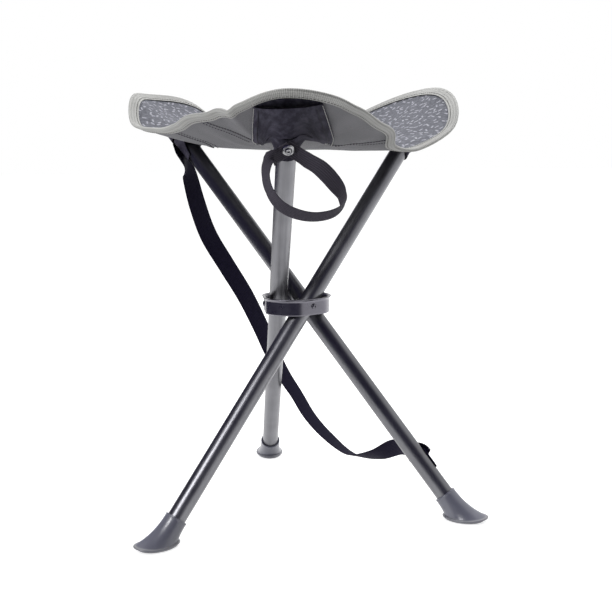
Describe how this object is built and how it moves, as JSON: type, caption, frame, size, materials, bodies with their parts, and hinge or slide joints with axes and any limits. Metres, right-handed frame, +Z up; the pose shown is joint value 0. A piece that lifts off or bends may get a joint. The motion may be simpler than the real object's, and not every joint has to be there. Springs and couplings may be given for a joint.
{
  "type": "tripod camping stool",
  "caption": "Folding tripod stool: crossed steel tubes pivot in a ring hub and spread a cornered cloth seat with bound edge, rubber feet, hand loop and carry strap.",
  "frame": {"origin": "on the floor, under the middle of the stool's box as it stands open, the loose carry strap left out", "axes": "+Z up, -Y towards the corner with the hand loop, +X to the right as seen from there"},
  "size_m": [0.3832, 0.4266, 0.4785],
  "materials": {
    "tube_steel": "satin",
    "hub_steel": "satin",
    "zinc_plate": "satin",
    "boot_rubber": "matte",
    "plastic": "matte",
    "seat_cloth": "woven",
    "binding_tape": "ribbed",
    "pocket_cloth": "woven",
    "webbing": "woven"
  },
  "bodies": {
    "hub": {"hub_ring": "hub_steel", "hub_rivet_a": "zinc_plate", "hub_rivet_b": "zinc_plate", "hub_rivet_c": "zinc_plate", "rivet_washer_a": "zinc_plate", "rivet_washer_b": "zinc_plate", "rivet_washer_c": "zinc_plate"},
    "leg_a": {"leg_tube_a": "tube_steel", "top_plug_a": "plastic", "foot_boot_a": "boot_rubber", "leg_spacer_a": "plastic", "cup_washer_a": "zinc_plate", "seat_screw_a": "zinc_plate", "hand_loop": "webbing", "corner_pocket_a": "pocket_cloth", "corner_tab_a": "pocket_cloth"},
    "leg_b": {"leg_tube_b": "tube_steel", "top_plug_b": "plastic", "foot_boot_b": "boot_rubber", "leg_spacer_b": "plastic", "cup_washer_b": "zinc_plate", "seat_screw_b": "zinc_plate", "corner_pocket_b": "pocket_cloth", "corner_tab_b": "pocket_cloth"},
    "leg_c": {"leg_tube_c": "tube_steel", "top_plug_c": "plastic", "foot_boot_c": "boot_rubber", "leg_spacer_c": "plastic", "cup_washer_c": "zinc_plate", "seat_screw_c": "zinc_plate", "carry_strap": "webbing", "strap_screw": "zinc_plate", "strap_washer": "zinc_plate", "corner_pocket_c": "pocket_cloth", "corner_tab_c": "pocket_cloth"},
    "seat": {"seat_panel": "seat_cloth", "edge_binding": "binding_tape"}
  },
  "joints": [
    {"name": "leg_a_fold", "type": "hinge", "parent": "hub", "child": "leg_a", "pos_m": [-0.02904, -0.00498, 0.23497], "axis": [-1, 0, 0], "range_deg": [0, 36], "deforming": ["corner_pocket_a", "corner_tab_a"]},
    {"name": "leg_b_fold", "type": "hinge", "parent": "hub", "child": "leg_b", "pos_m": [0.00096, -0.0223, 0.23497], "axis": [0.5, -0.866, 0], "range_deg": [0, 36], "deforming": ["corner_pocket_b", "corner_tab_b"]},
    {"name": "leg_c_fold", "type": "hinge", "parent": "hub", "child": "leg_c", "pos_m": [0.00096, 0.01234, 0.23497], "axis": [0.5, 0.866, 0], "range_deg": [0, 36], "deforming": ["corner_pocket_c", "corner_tab_c", "carry_strap"]},
    {"name": "seat_rise", "type": "slide", "parent": "hub", "child": "seat", "axis": [0, 0, 1], "range_m": [0, 0.0558], "deforming": ["seat_panel", "edge_binding"]}
  ],
  "couplings": [
    {"joint": "leg_b_fold", "follows": "leg_a_fold", "ratio": 1},
    {"joint": "leg_c_fold", "follows": "leg_a_fold", "ratio": 1},
    {"joint": "seat_rise", "follows": "leg_a_fold", "m_per_rad": 0.088013}
  ]
}
